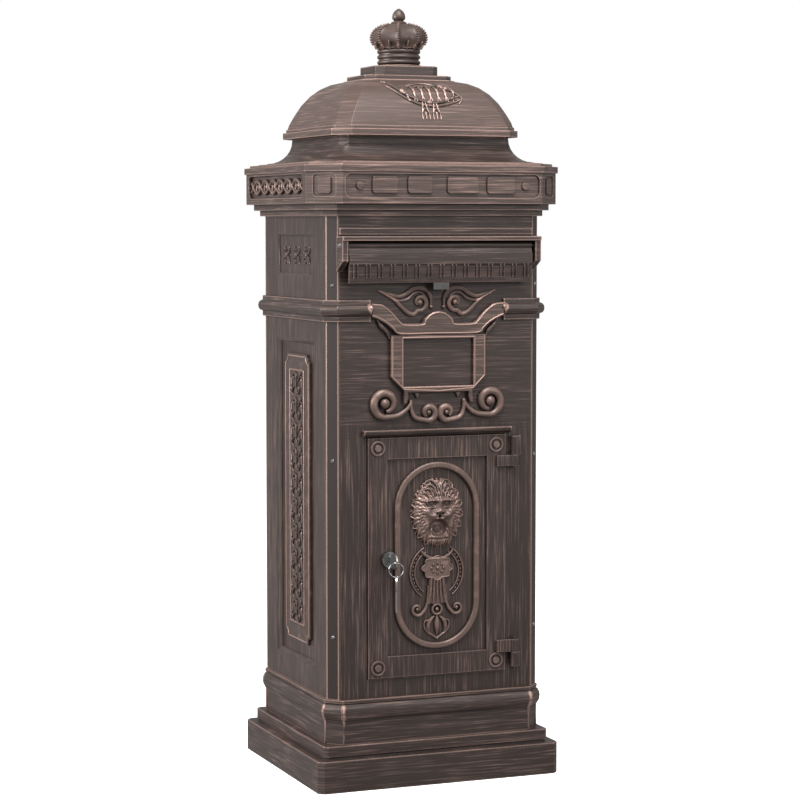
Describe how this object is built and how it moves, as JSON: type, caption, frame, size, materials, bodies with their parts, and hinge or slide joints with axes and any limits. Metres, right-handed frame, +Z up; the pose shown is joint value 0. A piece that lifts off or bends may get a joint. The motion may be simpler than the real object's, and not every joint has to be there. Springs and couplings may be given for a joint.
{
  "type": "pillar letterbox",
  "caption": "Free-standing lockable pillar letterbox in antique copper: stepped plinth, hinged collection door with cam lock, hooded letter flap, domed roof and crown finial.",
  "frame": {"origin": "on the ground at the centre of the case's footprint", "axes": "+Z up, the front with the door and letter slot faces -Y, +X is to the right of someone facing the front"},
  "size_m": [0.358, 0.3377, 1.025],
  "materials": {
    "cast_paint": "dark antique copper paint on cast aluminium, brushed so that copper shows on edges, satin",
    "relief_paint": "antique copper paint rubbed back on raised ornament, satin",
    "chrome": "bright chrome plating",
    "zinc_steel": "zinc-plated steel",
    "key_steel": "nickel-plated key steel",
    "card_plate": "blank dark name plate, matt"
  },
  "bodies": {
    "case": {"plinth": "cast_paint", "pedestal": "cast_paint", "floor_tray": "zinc_steel", "front_panel": "cast_paint", "left_panel": "cast_paint", "right_panel": "cast_paint", "back_panel": "cast_paint", "front_left_post": "cast_paint", "front_right_post": "cast_paint", "back_left_post": "cast_paint", "back_right_post": "cast_paint", "corner_angles": "zinc_steel", "post_screws": "chrome", "head_rail": "cast_paint", "hood": "cast_paint", "flap_pins": "chrome", "letter_chute": "zinc_steel", "belt_moulding": "relief_paint", "cartouche": "relief_paint", "name_frame": "relief_paint", "name_card": "card_plate", "upper_scrolls": "relief_paint", "lower_scrolls": "relief_paint", "door_head": "relief_paint", "panel_lugs": "cast_paint", "hinge_pins": "chrome", "left_plaque": "relief_paint", "right_plaque": "relief_paint", "left_motifs": "relief_paint", "right_motifs": "relief_paint", "cornice": "cast_paint", "frieze_blocks": "relief_paint", "frieze_waves": "relief_paint", "facet_bosses": "relief_paint", "roof": "cast_paint", "dome": "cast_paint", "dome_garland": "relief_paint", "finial_base": "cast_paint", "crown_ring": "cast_paint", "crown": "relief_paint", "finial_knob": "relief_paint", "tie_rod": "zinc_steel"},
    "flap": {"flap": "relief_paint", "lift_tab": "chrome"},
    "door": {"door": "cast_paint", "door_lugs": "cast_paint", "door_bead": "relief_paint", "door_roundels": "relief_paint", "lion_mask": "relief_paint", "door_pendant": "relief_paint", "lock_body": "chrome", "lock_nut": "zinc_steel"},
    "lock_plug": {"lock_plug": "chrome", "lock_cam": "zinc_steel", "cam_screw": "zinc_steel"},
    "key": {"key": "key_steel"},
    "key_ring": {"key_ring": "chrome"},
    "spare_key": {"spare_key": "key_steel"}
  },
  "joints": [
    {"name": "flap_swing", "type": "hinge", "parent": "case", "child": "flap", "pos_m": [0, -0.1465, 0.708], "axis": [-1, 0, 0], "range_deg": [0, 80]},
    {"name": "door_swing", "type": "hinge", "parent": "case", "child": "door", "pos_m": [0.11, -0.141, 0.3], "axis": [0, 0, 1], "range_deg": [0, 115]},
    {"name": "lock_turn", "type": "hinge", "parent": "door", "child": "lock_plug", "pos_m": [-0.07, -0.14, 0.3], "axis": [0, 1, 0], "range_deg": [0, 90]},
    {"name": "key_pull", "type": "slide", "parent": "lock_plug", "child": "key", "axis": [0, -1, 0], "range_m": [0, 0.026]},
    {"name": "ring_swing", "type": "hinge", "parent": "key", "child": "key_ring", "pos_m": [-0.07, -0.167, 0.2988], "axis": [0.9397, -0.342, 0], "range_deg": [-60, 15]},
    {"name": "spare_key_swing", "type": "hinge", "parent": "key_ring", "child": "spare_key", "pos_m": [-0.07, -0.167, 0.2802], "axis": [0.9397, -0.342, 0], "range_deg": [-60, 15]}
  ]
}
